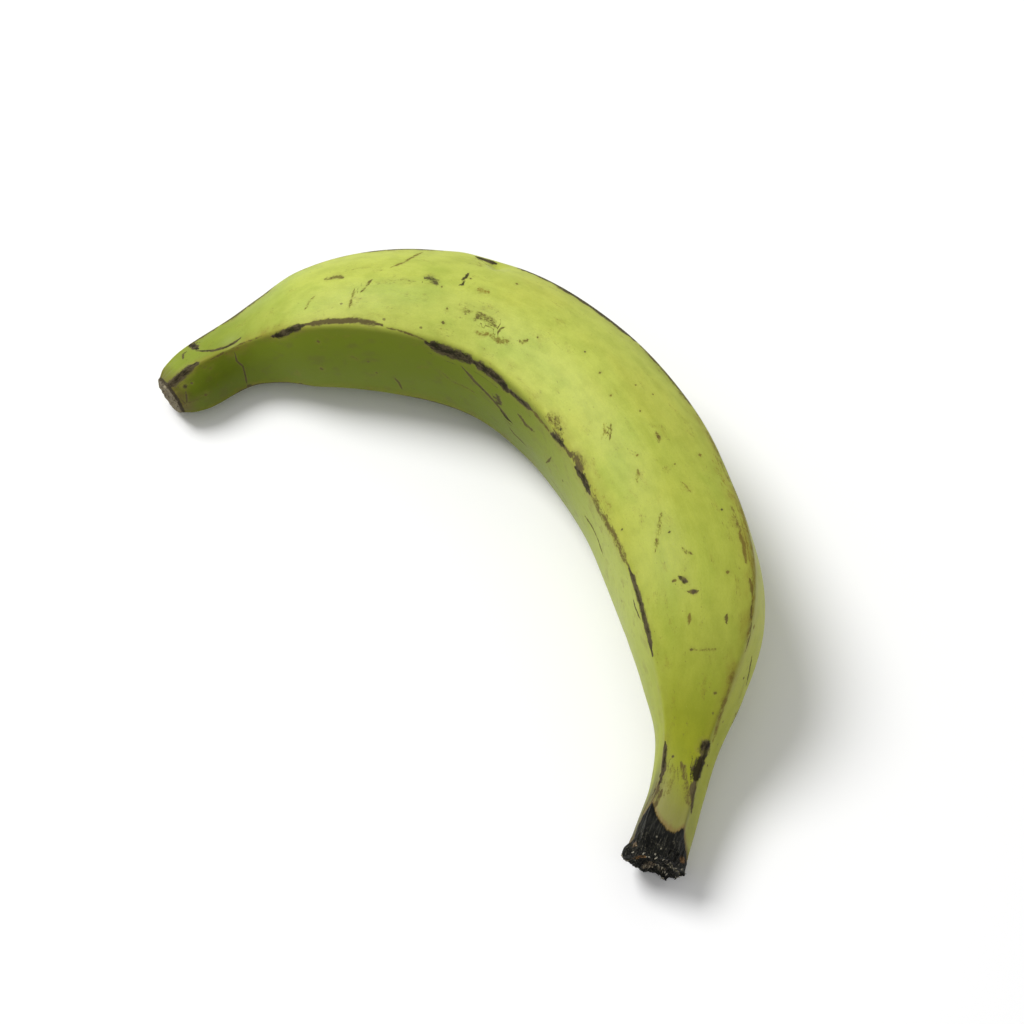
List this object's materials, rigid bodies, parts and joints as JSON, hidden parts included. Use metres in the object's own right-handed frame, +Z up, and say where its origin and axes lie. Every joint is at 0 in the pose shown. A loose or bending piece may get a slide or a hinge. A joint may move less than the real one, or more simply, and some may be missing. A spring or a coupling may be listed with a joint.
{
  "type": "plantain",
  "caption": "Whole green plantain lying on its side, bowed, with five soft ridges, a blunt blossom tip and a cut stalk.",
  "frame": {"origin": "on the surface that the fruit lies on, under the middle of its box", "axes": "+X from the blossom tip to the cut stalk, +Y towards the outside of the bow, +Z up from the surface it lies on"},
  "size_m": [0.2299, 0.1101, 0.0484],
  "materials": {
    "peel": "waxy satin"
  },
  "bodies": {
    "root": {"plantain": "peel"}
  },
  "joints": []
}
